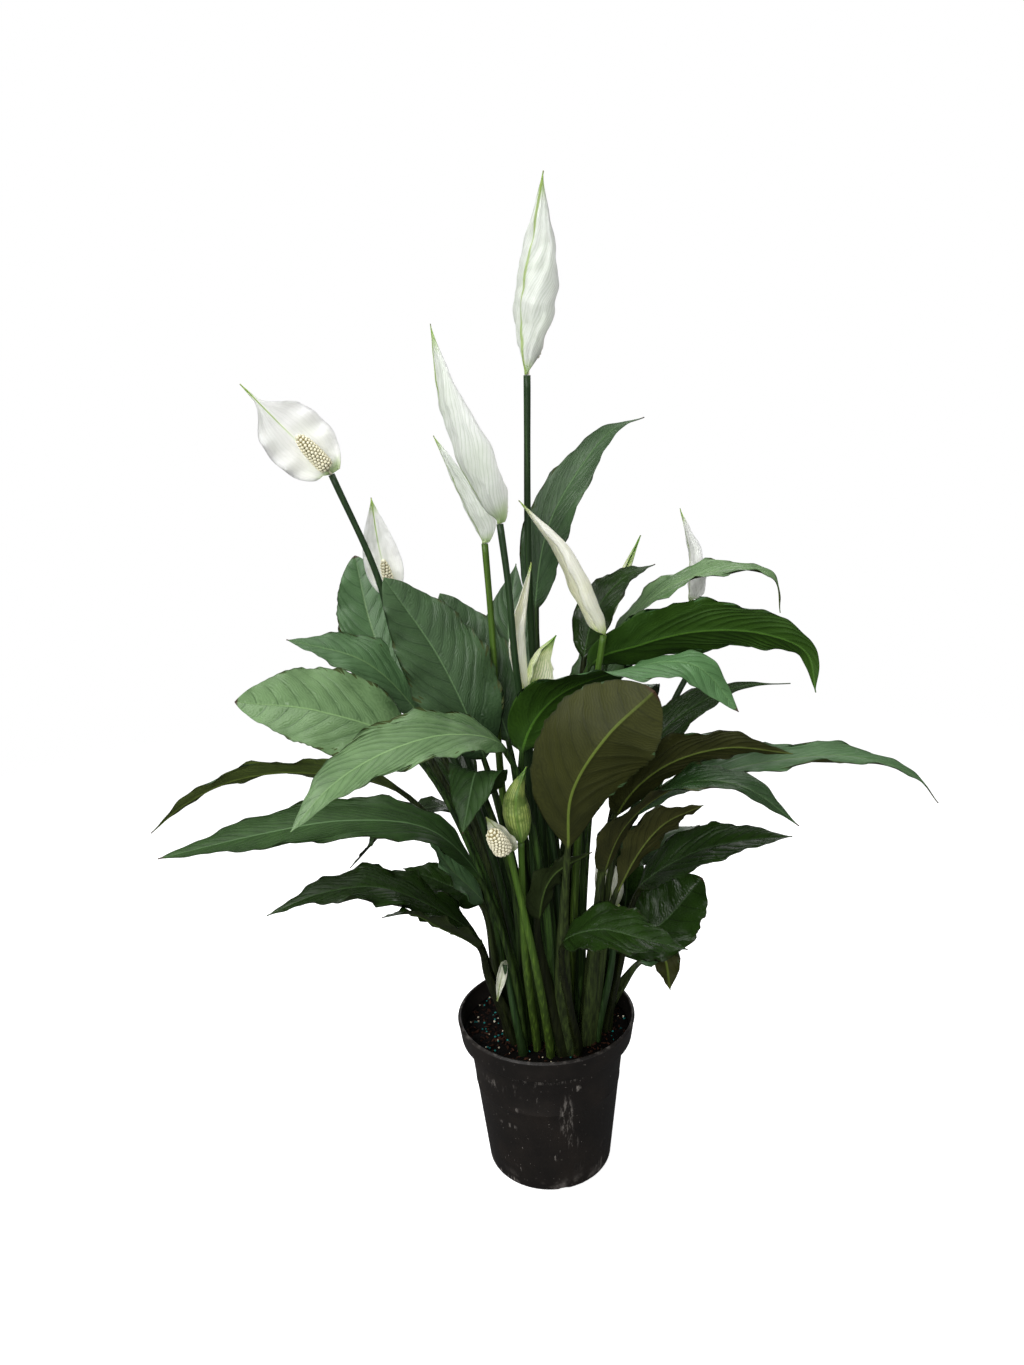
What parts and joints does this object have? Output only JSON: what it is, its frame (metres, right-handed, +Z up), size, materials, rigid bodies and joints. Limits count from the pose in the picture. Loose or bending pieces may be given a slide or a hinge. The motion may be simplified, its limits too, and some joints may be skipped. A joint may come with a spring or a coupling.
{
  "type": "potted peace lily",
  "caption": "Peace lily in a black nursery pot: arching glossy leaves and tall white spathes around cream spikes, standing in soil.",
  "frame": {"origin": "middle of the pot's flat base, on the surface that it stands on", "axes": "+Z up through the plant, -Y towards its front, +X to the right seen from the front"},
  "size_m": [0.7001, 0.4413, 0.9021],
  "materials": {
    "pot": "thin moulded nursery pot, near black, satin with chalky scuffs",
    "soil": "dark peat mix with bark chips and fertiliser grains",
    "leaf": "glossy leaf, pleated by its side veins, lighter below",
    "stalk": "smooth green stalk, satin",
    "spathe": "white bract with a grain of fine veins and green tips",
    "bud": "rolled young bract, cream to green",
    "spadix": "cream spike covered with tiny blunt flowers"
  },
  "bodies": {
    "root": {"leaf_tall": "leaf", "leaf_back_left": "leaf", "leaf_centre_left": "leaf", "leaf_broad_left": "leaf", "leaf_front_arch": "leaf", "leaf_far_left": "leaf", "leaf_long_left": "leaf", "leaf_low_left": "leaf", "leaf_mid_left": "leaf", "leaf_hanging_left": "leaf", "leaf_nose": "leaf", "leaf_front_upright": "leaf", "leaf_over_front": "leaf", "leaf_right_dark": "leaf", "leaf_upper_right": "leaf", "leaf_behind_stalks": "leaf", "leaf_right_hook": "leaf", "leaf_far_right": "leaf", "leaf_low_right": "leaf", "leaf_side_right": "leaf", "leaf_front_right": "leaf", "leaf_small_right": "leaf", "leaf_back_middle": "leaf", "leaf_back_right": "leaf", "leaf_back_low_right": "leaf", "bloom_tall_stalk": "stalk", "bloom_tall_spathe": "spathe", "bloom_tall_spadix": "spadix", "bloom_left_tall_stalk": "stalk", "bloom_left_tall_spathe": "spathe", "bloom_left_tall_spadix": "spadix", "bloom_open_stalk": "stalk", "bloom_open_spathe": "spathe", "bloom_open_spadix": "spadix", "bloom_behind_stalk": "stalk", "bloom_behind_spathe": "spathe", "bloom_behind_spadix": "spadix", "bloom_back_left_stalk": "stalk", "bloom_back_left_spathe": "spathe", "bloom_back_left_spadix": "spadix", "bloom_rolled_right_stalk": "stalk", "bloom_rolled_right_spathe": "spathe", "bloom_rolled_centre_stalk": "stalk", "bloom_rolled_centre_spathe": "spathe", "bloom_right_stalk": "stalk", "bloom_right_spathe": "spathe", "bloom_right_spadix": "spadix", "bloom_front_stalk": "stalk", "bloom_front_spathe": "spathe", "bloom_front_spadix": "spadix", "bloom_low_right_stalk": "stalk", "bloom_low_right_spathe": "spathe", "bloom_bud_centre": "bud", "bloom_bud_back": "bud", "bloom_green_front": "bud", "bloom_wilted": "bud", "bloom_bud_low": "bud", "soil": "soil", "pot": "pot"}
  },
  "joints": []
}
